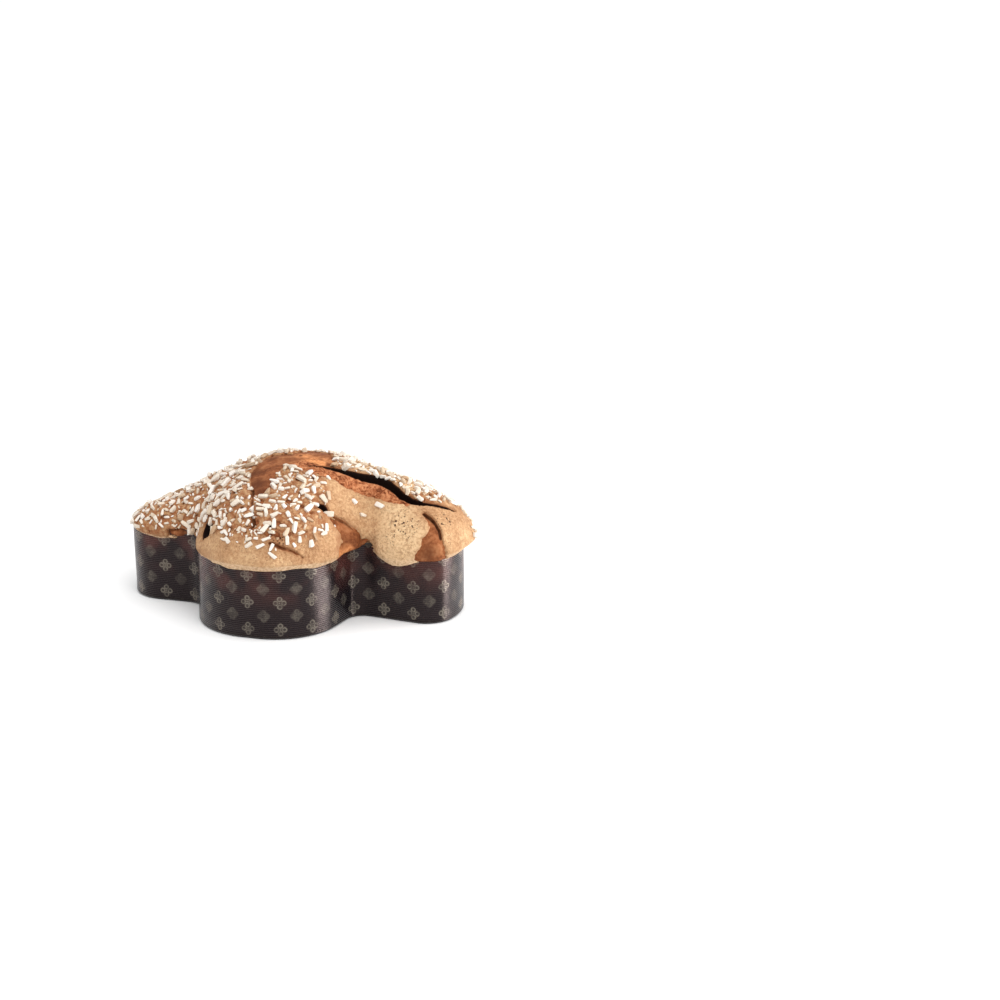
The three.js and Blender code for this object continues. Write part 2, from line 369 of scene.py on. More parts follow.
def smoothstep(low, high, values):
    t = np.clip((values - low) / (high - low), 0, 1)
    return t * t * (3 - 2 * t)


def grain(points, size, seed):
    """Smooth noise between about -1 and 1 at each point, with lumps about size across."""
    shift = Vector((seed * 17.3, seed * 5.1, seed * 9.7))
    return np.array([noise.noise(Vector(point) / size + shift) for point in points.tolist()]) * 1.5


def lumps(points, kind, seed):
    """How far each point stands out, for lumps of one height and width."""
    height, width = kind
    return height * grain(points, width, seed)


def chain_gap(points, chain):
    """Distance in metres from each point to a chain of balls: negative inside it."""
    balls = np.array(chain) * MM
    gap = np.full(len(points), np.inf)
    for (*start, r0), (*end, r1) in zip(balls, balls[1:]):
        start, along = np.array(start), np.array(end) - np.array(start)
        share = np.clip((points - start) @ along / max(along @ along, 1e-18), 0, 1)
        away = np.linalg.norm(points - start - share[:, None] * along, axis=1)
        gap = np.minimum(gap, away - r0 - share * (r1 - r0))
    return gap


def near_spots(points, spots, fade):
    """1 well inside any of the balls, falling to 0 at fade outside them."""
    return 1 - smoothstep(-fade, fade, np.min([chain_gap(points, (spot, spot)) for spot in spots], axis=0))


# ---------------------------------------------------------------- shader maths

class Value:
    """An output socket of a finish. Arithmetic on it adds Math nodes."""

    def __init__(self, finish, socket):
        self.finish = finish
        self.socket = socket

    def _math(self, operation, *operands):
        return self.finish.node("ShaderNodeMath", {"operation": operation}, dict(enumerate(operands)))

    def __add__(self, other):
        return self._math("ADD", self, other)

    def __sub__(self, other):
        return self._math("SUBTRACT", self, other)

    def __rsub__(self, other):
        return self._math("SUBTRACT", other, self)

    def __mul__(self, other):
        return self._math("MULTIPLY", self, other)

    def __truediv__(self, other):
        return self._math("DIVIDE", self, other)

    def __pow__(self, other):
        return self._math("POWER", self, other)

    def __abs__(self):
        return self._math("ABSOLUTE", self)

    __radd__ = __add__
    __rmul__ = __mul__

    def floor(self):
        return self._math("FLOOR", self)

    def sqrt(self):
        return self._math("SQRT", self)

    def least(self, other):
        return self._math("MINIMUM", self, other)

    def most(self, other):
        return self._math("MAXIMUM", self, other)

    def step(self, low, high):
        """0 below low, 1 above high, and a smooth ramp between."""
        sockets = {"Value": self, "From Min": low, "From Max": high}
        return self.finish.node("ShaderNodeMapRange", {"interpolation_type": "SMOOTHSTEP"}, sockets)


class Finish:
    """A material under construction."""

    def __init__(self, name):
        self.material = bpy.data.materials.new(name)
        self.material.use_nodes = True
        self.tree = self.material.node_tree
        self.surface = self.tree.nodes["Principled BSDF"]

    def node(self, kind, settings=None, sockets=None, output=0):
        made = self.tree.nodes.new(kind)
        for key, setting in (settings or {}).items():
            if key == "stops":
                ramp = made.color_ramp.elements
                while len(ramp) < len(setting):
                    ramp.new(0.5)
                for element, (place, colour) in zip(ramp, setting):
                    element.position = place
                    element.color = (*colour, 1)
            else:
                setattr(made, key, setting)
        for key, value in (sockets or {}).items():
            self.feed(made.inputs[key], value)
        return Value(self, made.outputs[output])

    def feed(self, socket, value):
        if isinstance(value, Value):
            self.tree.links.new(value.socket, socket)
        elif hasattr(value, "__len__") and len(value) == 3 and socket.type == "RGBA":
            socket.default_value = (*value, 1)
        else:
            socket.default_value = value

    def place(self):
        return self.node("ShaderNodeTexCoord", output="Object")

    def painted(self, name):
        return self.node("ShaderNodeAttribute", {"attribute_name": name}, output="Fac")

    def noise(self, place, size, detail=2, roughness=0.5, distortion=0):
        sockets = {
            "Vector": place, "Scale": 1 / size, "Detail": detail, "Roughness": roughness,
            "Distortion": distortion,
        }
        return self.node("ShaderNodeTexNoise", {}, sockets)

    def cells(self, place, size, feature="F1"):
        return self.node("ShaderNodeTexVoronoi", {"feature": feature}, {"Vector": place, "Scale": 1 / size})

    def ramp(self, value, stops):
        return self.node("ShaderNodeValToRGB", {"stops": stops}, {"Fac": value})

    def mix(self, share, low, high):
        return self.node("ShaderNodeMix", {"data_type": "RGBA"}, {0: share, 6: low, 7: high}, output=2)

    def bump(self, height, distance, strength=1.0):
        return self.node("ShaderNodeBump", {}, {"Height": height, "Distance": distance, "Strength": strength})

    def set(self, **sockets):
        for name, value in sockets.items():
            self.feed(self.surface.inputs[name.replace("_", " ")], value)
        return self.material


# ---------------------------------------------------------------- the case's outline

def case_outline():
    """The wall's outline in the CAD case, in order round the case."""
    corners = points_of(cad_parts["paper_case"].data)
    ring = corners[np.abs(corners[:, 2] - CASE_FOLD) < 0.01 * MM][:, :2]
    ring = np.unique(np.round(ring, 6), axis=0)
    return ring[np.argsort(np.arctan2(ring[:, 1], ring[:, 0]))]


def smooth_loop(ring, shares):
    """Points of a smooth closed curve through the ring, at shares of the way round it."""
    place = np.asarray(shares) % 1 * len(ring)
    low = place.astype(int)
    t = (place - low)[:, None]
    before, start, end, after = (ring[(low + k) % len(ring)] for k in (-1, 0, 1, 2))
    slope_start, slope_end = (end - before) / 2, (after - start) / 2
    return (
        (2 * t**3 - 3 * t**2 + 1) * start + (t**3 - 2 * t**2 + t) * slope_start
        + (3 * t**2 - 2 * t**3) * end + (t**3 - t**2) * slope_end
    )


def outline_length(ring):
    return np.linalg.norm(np.roll(ring, -1, axis=0) - ring, axis=1).sum()


def wall_gap(points, ring):
    """How far each point lies outside the wall's outline, seen from above, and the way outwards there."""
    nearest = np.full(len(points), np.inf)
    gap = np.zeros(len(points))
    outward = np.zeros((len(points), 2))
    for start, end in zip(ring, np.roll(ring, -1, axis=0)):
        length = np.linalg.norm(end - start)
        along = (end - start) / length
        normal = np.array([along[1], -along[0]])
        reach = (points[:, :2] - start) @ along
        across = (points[:, :2] - start) @ normal
        away = np.hypot(across, reach - np.clip(reach, 0, length))
        nearer = away < nearest
        nearest[nearer] = away[nearer]
        gap[nearer] = (np.sign(across) * away)[nearer]
        outward[nearer] = normal
    return gap, outward


# ---------------------------------------------------------------- the cake's body

def cake_body(ring):
    """The cake above the case's rim, closed underneath: the CAD cake without the part inside the paper."""
    body = bpy.data.objects.new("cake_body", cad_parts["cake"].data.copy())
    bpy.context.collection.objects.link(body)
    body.data.materials.clear()
    select_only(body)
    bpy.ops.object.mode_set(mode="EDIT")
    bpy.ops.mesh.select_all(action="SELECT")
    bpy.ops.mesh.remove_doubles(threshold=0.01 * MM)
    bpy.ops.object.mode_set(mode="OBJECT")
    points = points_of(body.data)
    gap, _ = wall_gap(points, ring)
    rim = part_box("paper_case")[1].z
    select_vertices(body, (gap < LIP_START) & (points[:, 2] < rim + LIP_START))
    bpy.ops.mesh.delete(type="VERT")
    bpy.ops.mesh.select_all(action="DESELECT")
    bpy.ops.mesh.select_non_manifold()
    bpy.ops.mesh.extrude_region()
    bpy.ops.object.mode_set(mode="OBJECT")
    points = points_of(body.data)
    chosen = np.empty(len(points), dtype=bool)
    body.data.vertices.foreach_get("select", chosen)
    gap, outward = wall_gap(points[chosen], ring)
    points[chosen, :2] -= outward * (gap + PLUG_INSET)[:, None]
    points[chosen, 2] = PLUG_TOP
    move_points(body.data, points)
    select_vertices(body, chosen)
    bpy.ops.mesh.edge_face_add()
    bpy.ops.object.mode_set(mode="OBJECT")
    apply_modifier(body, "REMESH", mode="VOXEL", voxel_size=VOXEL)
    apply_modifier(body, "SMOOTH", factor=0.5, iterations=6)
    return body


def refine(body, chosen):
    """Splits the faces whose corners are all chosen into four."""
    select_vertices(body, chosen)
    bpy.ops.mesh.subdivide(number_cuts=1)
    bpy.ops.object.mode_set(mode="OBJECT")


def refine_edges(body):
    """Makes the mesh finer along the edges of cracks and bare patches, and smooths it a little."""
    cracks, bare = features(points_of(body.data))
    refine(body, np.minimum(np.abs(bare), np.abs(cracks).min(axis=0)) < EDGE_REACH)
    cracks, _ = features(points_of(body.data))
    refine(body, np.abs(cracks).min(axis=0) < CRACK_REACH)
    apply_modifier(body, "SMOOTH", factor=0.4, iterations=2)


def features(points):
    """Gaps from each point to the ragged edge of every crack, and to that of the bare crust."""
    rag = lumps(points, FINE_RAG, 1) + lumps(points, COARSE_RAG, 2)
    cracks = [chain_gap(points, chain) + CRACK_RAG * rag for chain, _ in CRACKS]
    bare = np.min([chain_gap(points, chain) for chain in BARE], axis=0) + rag
    return cracks, bare


def relief(points):
    """How far the uneven crust stands out from the CAD cake, its cracks left aside."""
    height = lumps(points, BROAD_LUMPS, 3) + lumps(points, SMALL_LUMPS, 4)
    bare = np.min([chain_gap(points, chain) for chain in BARE], axis=0)
    height -= SHRINK * smoothstep(-PATCH_BLEND, 0, bare)
    torn = 1 - smoothstep(-TORN_BLEND, 0, chain_gap(points, TORN_SLOPE))
    height += torn * (lumps(points, TORN_LUMPS, 8) + lumps(points, TORN_GRAIN, 9))
    for x, y, z, reach, rise in SWELLS:
        away = np.linalg.norm(points - np.array((x, y, z)) * MM, axis=1) / (reach * MM)
        height += rise * MM * (1 - smoothstep(0, 1, away))
    return height


def carved(cracks):
    """How deep the crust is torn open."""
    depths = [
        depth * MM * np.tanh(CRACK_SLOPE * np.clip(-gap, 0, None) / (depth * MM))
        for gap, (_, depth) in zip(cracks, CRACKS)
    ]
    return np.max(depths, axis=0)


def crack_burnt_shade(cracks):
    """How black the crust is painted in its cracks, part burnt crust and part painted shade: fully in those 6
    mm deep or more, less in shallow ones.
    """
    black = [
        smoothstep(*CRACK_DARK, -gap) * min(1, (depth + 2) / 8)
        for gap, (_, depth) in zip(cracks, CRACKS)
    ]
    return np.max(black, axis=0)


def tucked(points, ring):
    """The points, with the thin film over the paper's rim drawn in behind the paper."""
    gap, outward = wall_gap(points, ring)
    low = 1 - smoothstep(*TUCK_HEIGHT, points[:, 2])
    thin = 1 - smoothstep(*TUCK_GAP, gap)
    share = low * thin * (gap > -TUCK_INSET)
    drawn = points.copy()
    drawn[:, :2] -= outward * (share * (gap + TUCK_INSET))[:, None]
    return drawn


def crust_piece(body, ring):
    """The browned crust, torn open along the cracks, with its plug inside the case."""
    crust = copy_of(body, "crust")
    points, normals = points_of(body.data), points_of(body.data, "normal")
    cracks, _ = features(points)
    shaped = tucked(points + normals * (relief(points) - carved(cracks))[:, None], ring)
    gap, _ = wall_gap(points, ring)
    underside = (gap < -PLUG_INSET - 1.5 * VOXEL) & (points[:, 2] < PLUG_TOP + VOXEL)
    shaped[underside, 2] = PLUG_FLOOR
    move_points(crust.data, shaped)
    # Painted shade in the cracks, together with their burnt crust.
    paint(crust.data, "crack", crack_burnt_shade(cracks))
    # Golden spots: partly golden bake, partly painted light on the lit parts of the crust.
    paint(crust.data, "golden", near_spots(points, GOLDEN_LIT_SPOTS, fade=6 * MM))
    paint(crust.data, "dark", near_spots(points, DARK_SPOTS, fade=6 * MM))
    paint(crust.data, "torn", 1 - smoothstep(0, TORN_FADE, chain_gap(points, TORN_SLOPE)))
    select_vertices(crust, underside)
    bpy.ops.mesh.dissolve_limited(angle_limit=math.radians(2))
    bpy.ops.object.mode_set(mode="OBJECT")
    return crust


def glaze_cover(points, normals, cracks, bare, ring):
    """How far inside the glaze's edge each point lies. Outside the glaze it is negative."""
    split = np.minimum(bare, np.min(cracks, axis=0) - CRACK_MARGIN)
    under = (normals[:, 2] + UNDER_SLOPE) * UNDER_FADE
    gap, outward = wall_gap(points, ring)
    inner = ((normals[:, :2] * outward).sum(axis=1) + INNER_TURN) * INNER_FADE
    inner += INNER_RELEASE * np.clip(gap - INNER_REACH, 0, None)
    inner = np.where(points[:, 2] < RIM_HEIGHT, inner, split)
    gaps = (GAP_LEVEL - grain(points, GAP_WIDTH, 7)) * GAP_WIDTH + 2 * GAP_WIDTH * (1 - nib_share(points))
    return np.min([split, under, inner, gaps], axis=0)


def glaze_piece(body, ring):
    """The almond glaze: a shell on the crust whose edges dip into it where it has split."""
    glaze = copy_of(body, "almond_glaze")
    points, normals = points_of(body.data), points_of(body.data, "normal")
    cracks, bare = features(points)
    cover = glaze_cover(points, normals, cracks, bare, ring)
    thick = GLAZE_THICK * (1 + lumps(points, GLAZE_LUMPS, 5) + lumps(points, GLAZE_GRAIN, 6))
    thick *= UNDER_THIN + (1 - UNDER_THIN) * smoothstep(*UNDER_RAMP, normals[:, 2])
    lift = -GLAZE_DIP + (GLAZE_DIP + thick) * smoothstep(-GLAZE_RISE, GLAZE_RISE, cover)
    move_points(glaze.data, points + normals * (relief(points) + lift)[:, None])
    paint(glaze.data, "edge", 1 - smoothstep(0, EDGE_WIDTH, cover))
    # The rim is painted highlight: paler glaze where the lip faces down.
    paint(glaze.data, "rim", 1 - smoothstep(*RIM_LIGHT_SLOPE, normals[:, 2]))
    paint(glaze.data, "nibbed", nib_share(points))
    paint(glaze.data, "pale", near_spots(points, PALE_SPOTS, fade=10 * MM))
    paint(glaze.data, "browned", near_spots(points, BROWNED_SPOTS, fade=5 * MM))
    paint(glaze.data, "pitted", near_spots(points, PIT_PATCHES, fade=3 * MM))
    select_vertices(glaze, cover < -GLAZE_TRIM)
    bpy.ops.mesh.delete(type="VERT")
    bpy.ops.mesh.select_all(action="SELECT")
    bpy.ops.mesh.delete_loose()
    bpy.ops.object.mode_set(mode="OBJECT")
    return glaze


# ---------------------------------------------------------------- sugar nibs

def nib_share(points):
    """How thickly the cake is strewn with sugar nibs, from 0 to 1."""
    x, y, z = (points / MM).T
    low = 1 - smoothstep(*LIP_HEIGHT, z + lumps(points, LIP_RAG, 31))
    near_lip = low * smoothstep(*LIP_X, x) * (y < 0)
    fissure = np.interp(x, *np.array(FISSURE).T[:2])
    plate = smoothstep(*PLATE_X, x + PLATE_LEAN * (y - PLATE_Y)) * (1 - smoothstep(-1, 1, y - fissure))
    tail_end = smoothstep(*TAIL_END_X, x + TAIL_END_LEAN * y)
    far_tail = smoothstep(*FAR_TAIL_X, x) * smoothstep(*FAR_TAIL_Y, y)
    share = 1 - BARE_SHARE * near_lip
    share *= 1 - BARE_SHARE * plate
    share *= 1 - TAIL_END_SHARE * tail_end
    share *= smoothstep(*HEAD_END_X, x)
    share *= 1 - FAR_TAIL_SHARE * far_tail
    return share


def nib_weight(points, normals):
    """How likely a nib is to lie at each point."""
    weight = nib_share(points) * smoothstep(NIB_LOWEST - NIB_FADE, NIB_LOWEST, points[:, 2])
    cracks, bare = features(points)
    weight *= smoothstep(*NIB_MARGIN, np.minimum(bare, np.min(cracks, axis=0)))
    for x, y, z, reach, extra in HEAPS + LONE_NIBS:
        away = np.linalg.norm(points - np.array((x, y, z)) * MM, axis=1) / (reach * MM)
        weight = weight * (1 + extra * (1 - smoothstep(HEAP_CORE, 1, away)))
    return weight * smoothstep(*NIB_SLOPE, normals[:, 2])


def nib_shapes(rng):
    """A few chipped blocks of sugar, about 1 across, to copy."""
    shapes = []
    for _ in range(NIB_KINDS):
        select_none()
        bpy.ops.mesh.primitive_cube_add(size=1)
        piece = bpy.context.object
        bpy.ops.object.mode_set(mode="EDIT")
        bpy.ops.mesh.select_all(action="SELECT")
        bpy.ops.mesh.bevel(offset=rng.uniform(*NIB_BEVEL), segments=1, affect="EDGES")
        bpy.ops.mesh.quads_convert_to_tris()
        bpy.ops.object.mode_set(mode="OBJECT")
        points = points_of(piece.data)
        for _ in range(NIB_CHIPS):
            facet = rng.normal(size=3)
            facet /= np.linalg.norm(facet)
            over = points @ facet - rng.uniform(*NIB_CHIP_PLACE)
            points -= np.clip(over, 0, None)[:, None] * facet
        points *= 1 - rng.uniform(0, NIB_TAPER) * (points[:, :1] + 0.5)
        points *= 1 + NIB_LUMPS * grain(points, 0.5, rng.integers(10, 90))[:, None]
        shapes.append((points, np.array([face.vertices[:] for face in piece.data.polygons])))
        bpy.data.objects.remove(piece)
    return shapes


def surface_samples(mesh, count, rng, weight):
    """Random places on a mesh, with their normals, thicker where weight is larger."""
    mesh.calc_loop_triangles()
    corners = np.array([triangle.vertices[:] for triangle in mesh.loop_triangles])
    points = points_of(mesh)
    a, b, c = (points[corners[:, k]] for k in range(3))
    cross = np.cross(b - a, c - a)
    area = np.linalg.norm(cross, axis=1)
    normals = cross / np.maximum(area, 1e-12)[:, None]
    chance = area * weight((a + b + c) / 3, normals)
    picked = rng.choice(len(corners), size=count, p=chance / chance.sum())
    u, v = rng.random(count), rng.random(count)
    flip = u + v > 1
    u[flip], v[flip] = 1 - u[flip], 1 - v[flip]
    u, v = u[:, None], v[:, None]
    places = a[picked] + u * (b - a)[picked] + v * (c - a)[picked]
    return places, normals[picked]


def joined_nibs(name, shapes, places, normals, sizes, rng):
    """One mesh of many nibs lying on a surface. sizes gives each nib's length, width and height."""
    all_points, all_faces, tones, start = [], [], [], 0
    for place, normal, size in zip(places, normals, sizes):
        points, faces = shapes[rng.integers(len(shapes))]
        spin = Matrix.Rotation(rng.uniform(0, 2 * math.pi), 3, "Z")
        tilt = Matrix.Rotation(rng.normal(0, NIB_TILT), 3, "X")
        turn = np.array(Vector(normal).to_track_quat("Z", "Y").to_matrix() @ spin @ tilt)
        centre = place + normal * size[2] * (0.5 - NIB_SINK)
        all_points.append(points * size @ turn.T + centre)
        all_faces.append(faces + start)
        tones.append(np.full(len(points), rng.random()))
        start += len(points)
    mesh = bpy.data.meshes.new(name)
    mesh.from_pydata(np.concatenate(all_points).tolist(), [], np.concatenate(all_faces).tolist())
    paint(mesh, "tone", np.concatenate(tones))
    made = bpy.data.objects.new(name, mesh)
    bpy.context.collection.objects.link(made)
    return made


def spaced(places, spacing, most):
    """The places that keep their spacing from those before them, up to a number of them."""
    kept, cells = [], {}
    for index, (place, apart) in enumerate(zip(places, spacing)):
        key = tuple((place // NIB_CELL).astype(int))
        near = [
            other
            for dx in (-1, 0, 1) for dy in (-1, 0, 1) for dz in (-1, 0, 1)
            for other in cells.get((key[0] + dx, key[1] + dy, key[2] + dz), ())
        ]
        if all(np.linalg.norm(place - places[other]) > (apart + spacing[other]) / 2 for other in near):
            kept.append(index)
            cells.setdefault(key, []).append(index)
        if len(kept) == most:
            break
    return np.array(kept)


def sugar_piece(glaze):
    """The sugar nibs and crumbs, strewn on the glaze."""
    rng = np.random.default_rng(SUGAR_SEED)
    shapes = nib_shapes(rng)
    places, normals = surface_samples(glaze.data, NIB_TRIES, rng, nib_weight)
    length = np.minimum(NIB_LENGTH * rng.lognormal(0, NIB_SPREAD, NIB_TRIES), NIB_LONGEST)
    crumb = rng.random(NIB_TRIES) < CRUMB_SHARE
    length[crumb] = rng.uniform(*CRUMB_LENGTH, crumb.sum())
    width = length * rng.uniform(*NIB_WIDTH, NIB_TRIES)
    height = width * rng.uniform(*NIB_HEIGHT, NIB_TRIES)
    kept = spaced(places, NIB_SPACING * np.sqrt(length * width), NIB_COUNT)
    sizes = np.stack([length, width, height], axis=1)[kept]
    return joined_nibs("sugar_nibs", shapes, places[kept], normals[kept], sizes, rng)


# ---------------------------------------------------------------- the paper case

def case_rows():
    """The case's profile as offset and height: the underside, up the wall, over the rim and down inside."""
    underside = [(-UNDERSIDE_INSET, 0)]
    fold = [(-inward * CASE_FOLD, up * CASE_FOLD) for inward, up in FOLD_SHARES]
    step = RIB_PITCH / 2
    heights = np.arange(CASE_FOLD, RIM_HEIGHT - step, step)
    wall = [(RIB_DEPTH * (-1) ** k, z) for k, z in enumerate(heights)]
    rim = [(0, RIM_HEIGHT), (-0.5 * PAPER_THICK, RIM_HEIGHT + 0.3 * PAPER_THICK), (-PAPER_THICK, RIM_HEIGHT)]
    inside = [(-PAPER_THICK, z) for z in INNER_HEIGHTS]
    return np.array(underside + fold + wall + rim + inside + INNER_FLOOR)


def lay_print(mesh, places):
    """Gives each vertex its place on the unrolled wall, for the print: along it and up, in metres."""
    corner_vertex = np.empty(len(mesh.loops), dtype=int)
    mesh.loops.foreach_get("vertex_index", corner_vertex)
    mesh.uv_layers[0].data.foreach_set("uv", places[corner_vertex].ravel())


def paper_piece(ring):
    """The case: a band of corrugated paper wrapped round the outline and closed by its floor."""
    rows = case_rows()
    select_none()
    bpy.ops.mesh.primitive_grid_add(x_subdivisions=WALL_COLUMNS, y_subdivisions=len(rows) - 1, size=1)
    paper = bpy.context.object
    paper.name = "printed_case"
    grid = points_of(paper.data) + 0.5
    around = grid[:, 0]
    row = np.rint(grid[:, 1] * (len(rows) - 1)).astype(int)
    offset, height = rows[row].T
    plan = smooth_loop(ring, around)
    ahead = smooth_loop(ring, around + 1e-4) - smooth_loop(ring, around - 1e-4)
    outward = np.stack([ahead[:, 1], -ahead[:, 0]], axis=1) / np.linalg.norm(ahead, axis=1)[:, None]
    flat = np.column_stack([plan, height])
    free = smoothstep(2 * CASE_FOLD, WALL_WAVE_START, height)
    wave = WALL_WAVE * free * grain(flat * (1, 1, WALL_WAVE_SQUEEZE), WALL_WAVE_WIDTH, 21)
    rim_wave = RIM_WAVE * smoothstep(RIM_WAVE_START, RIM_HEIGHT, height) * grain(flat, RIM_WAVE_WIDTH, 22)
    shaped = np.column_stack([plan + outward * (offset + wave)[:, None], height + rim_wave])
    move_points(paper.data, shaped)
    lay_print(paper.data, np.column_stack([around * outline_length(ring), height]))
    select_vertices(paper, np.ones(len(row), dtype=bool))
    bpy.ops.mesh.remove_doubles(threshold=0.005 * MM)
    bpy.ops.mesh.select_all(action="DESELECT")
    bpy.ops.mesh.select_non_manifold()
    bpy.ops.mesh.fill_holes(sides=0)
    bpy.ops.object.mode_set(mode="OBJECT")
    return paper


# ---------------------------------------------------------------- finishes

def crust_finish():
    finish = Finish("browned_crust")
    place = finish.place()
    broad = finish.noise(place, 16 * MM, detail=3, distortion=0.6)
    fine = finish.noise(place, 2.5 * MM, detail=4, roughness=0.65)
    brown = finish.ramp(broad * 0.6 + fine * 0.4, CRUST_BROWNS)
    # Partly a golden bake and partly painted light on the lit parts of the bare crust.
    lit_gold = finish.ramp(fine, CRUST_LIT_GOLDS)
    brown = finish.mix(finish.painted("golden") * broad.step(0.32, 0.5), brown, lit_gold)
    clots = finish.noise(place, 5 * MM, detail=4, roughness=0.65, distortion=1.5)
    colour = finish.mix(finish.painted("torn"), brown, finish.ramp(clots, TORN_BROWNS))
    colour = finish.mix(finish.painted("dark") * 0.75, colour, CRUST_DARKEST)
    # The cracks are painted black: burnt crust and painted shade.
    colour = finish.mix(finish.painted("crack"), colour, CRACK_BURNT_SHADE)
    wrinkles = finish.noise(place, 1.4 * MM, detail=4, roughness=0.55)
    normal = finish.bump(wrinkles + finish.painted("torn") * clots * 2, 0.5 * MM, 0.7)
    rough = finish.noise(place, 6 * MM, detail=2) * 0.25 + 0.4 + finish.painted("torn") * 0.25
    return finish.set(Base_Color=colour, Roughness=rough, Specular_IOR_Level=0.05, Normal=normal)


def glaze_finish():
    finish = Finish("toasted_almond_glaze")
    place = finish.place()
    broad = finish.noise(place, 18 * MM, detail=2)
    fine = finish.noise(place, 2.2 * MM, detail=5, roughness=0.75)
    tan = finish.ramp(broad * 0.35 + fine * 0.65, GLAZE_TANS)
    crumbs = finish.cells(place, 1.7 * MM)
    pores = (1 - crumbs.step(0.12, 0.3)) * finish.noise(place, 9 * MM).step(0.5, 0.62)
    small_holes = finish.cells(place, 2.3 * MM).step(0.14, 0.3)
    large_holes = finish.cells(place, 4.4 * MM).step(0.14, 0.26)
    pitted = finish.painted("pitted") * finish.noise(place, 5 * MM).step(0.38, 0.5)
    pits = (1 - small_holes.least(large_holes)) * pitted
    cracked = finish.cells(place, 6.5 * MM, "DISTANCE_TO_EDGE")
    hairline = (1 - cracked.step(0.006, 0.03)) * finish.noise(place, 14 * MM).step(0.5, 0.65)
    speckle = finish.noise(place, 4.5 * MM, detail=4, roughness=0.6).step(0.36, 0.6)
    amber = (finish.painted("nibbed") - finish.painted("pale") * 0.7) * speckle
    flecks = fine.step(0.38, 0.6)
    tan = finish.mix(finish.painted("pale") * (flecks * 0.75 + 0.25), tan, GLAZE_PALE)
    colour = finish.mix(finish.painted("edge") * 0.3, tan, GLAZE_EDGE)
    colour = finish.mix(amber * 0.9, colour, GLAZE_AMBER)
    # Painted highlight: a paler rim where the lip faces down.
    colour = finish.mix(finish.painted("rim") * (flecks * 0.7 + 0.2), colour, GLAZE_RIM_LIGHT)
    colour = finish.mix(pores * 0.6 + hairline * 0.2, colour, GLAZE_PORE)
    colour = finish.mix(finish.painted("browned") * 0.75, colour, GLAZE_BROWNED)
    # Painted shade: the pits are painted near-black.
    colour = finish.mix(pits, colour, GLAZE_PIT_SHADE)
    height = fine * 1.2 + crumbs * 0.3 - pores * 0.8 - hairline * 0.3 - pits * 1.5
    rough = fine * 0.2 + 0.62
    normal = finish.bump(height, 0.8 * MM, 0.9)
    return finish.set(Base_Color=colour, Roughness=rough, Specular_IOR_Level=0.25, Normal=normal)


def sugar_finish():
    finish = Finish("white_sugar")
    place = finish.place()
    fine = finish.noise(place, 0.9 * MM, detail=3, roughness=0.6)
    shade = finish.ramp(finish.painted("tone"), SUGAR_WHITES)
    colour = finish.mix(fine * 0.35, shade, SUGAR_GRAIN)
    normal = finish.bump(fine, 0.4 * MM, 0.7)
    return finish.set(Base_Color=colour, Roughness=fine * 0.3 + 0.35, Normal=normal)


def rosette(u, v):
    """A printed rosette where u and v are whole: the line of its four loops and dot, and the disc behind."""
    du = (u + 0.5).floor() - u
    dv = (v + 0.5).floor() - v
    x = abs(du * PRINT_PITCH / PRINT_RADIUS)
    y = abs(dv * PRINT_ROW / PRINT_RADIUS)
    longer = x.most(y)
    shorter = x.least(y)
    loop = ((longer - LOOP_PLACE) ** 2 + shorter ** 2).sqrt()
    dot = (x ** 2 + y ** 2).sqrt()
    inner, outer = LOOP_LINE
    line = (loop.step(*inner) * (1 - loop.step(*outer))).most(1 - dot.step(*DOT_EDGE))
    disc = 1 - (x ** DISC_POWER + y ** DISC_POWER).step(*DISC_EDGE)
    return line, disc


def inked(rosette_parts, strengths):
    """How much ink a rosette has, from its line and disc and the strength of each."""
    line, disc = rosette_parts
    line_ink, disc_ink = strengths
    return line * line_ink + disc * disc_ink


def paper_finish(ring):
    finish = Finish("dark_printed_paper")
    place = finish.place()
    start, height = print_origin(ring)
    spot = finish.node("ShaderNodeUVMap")
    along = finish.node("ShaderNodeSeparateXYZ", {}, {"Vector": spot})
    up = finish.node("ShaderNodeSeparateXYZ", {}, {"Vector": spot}, output=1)
    u = (along - start) / PRINT_PITCH
    v = (up - height) / PRINT_ROW
    outlined = inked(rosette(u, v), OUTLINED_INK)
    filled = inked(rosette(u + 0.5, v + 0.5), FILLED_INK)
    worn = finish.noise(place, 7 * MM, detail=3, roughness=0.7).step(0.38, 0.62)
    ink = outlined.most(filled) * (worn * 0.6 + 0.4) * up.step(CASE_FOLD, 1.5 * CASE_FOLD)
    flattened = finish.node("ShaderNodeMapping", {}, {"Vector": place, "Scale": (1, 1, 3)})
    fibre = finish.noise(flattened, 1.5 * MM, detail=3)
    # Painted sheen: a warmer reddish colour in patches on the upper wall.
    sheen_patches = finish.noise(place, 28 * MM, detail=2)
    painted_sheen = sheen_patches.step(0.35, 0.65) * up.step(20 * MM, 60 * MM)
    dark = finish.mix(painted_sheen, PAPER_BLACK, PAPER_PAINTED_SHEEN)
    # Painted shade at the wall's foot, as contact shadow.
    dark = finish.mix(up.step(1 * MM, 5 * MM), PAPER_FOOT_SHADE, dark)
    colour = finish.mix(ink, dark, INK_GOLD)
    rough = fibre * 0.2 + 0.16
    normal = finish.bump(fibre, 0.15 * MM, 0.3)
    return finish.set(
        Base_Color=colour, Roughness=rough, Metallic=ink * 0.7, Specular_IOR_Level=0.4,
        Specular_Tint=PAPER_SHEEN, Normal=normal,
    )


def print_origin(ring):
    """Where on the wall's length the print's first rosette stands, and its height."""
    wanted, height = PRINT_START
    near_wing = ring[:, 1] < ring[:, 1].min() + PRINT_WING
    away = np.where(near_wing, np.abs(ring[:, 0] - wanted), np.inf)
    return away.argmin() / len(ring) * outline_length(ring), height


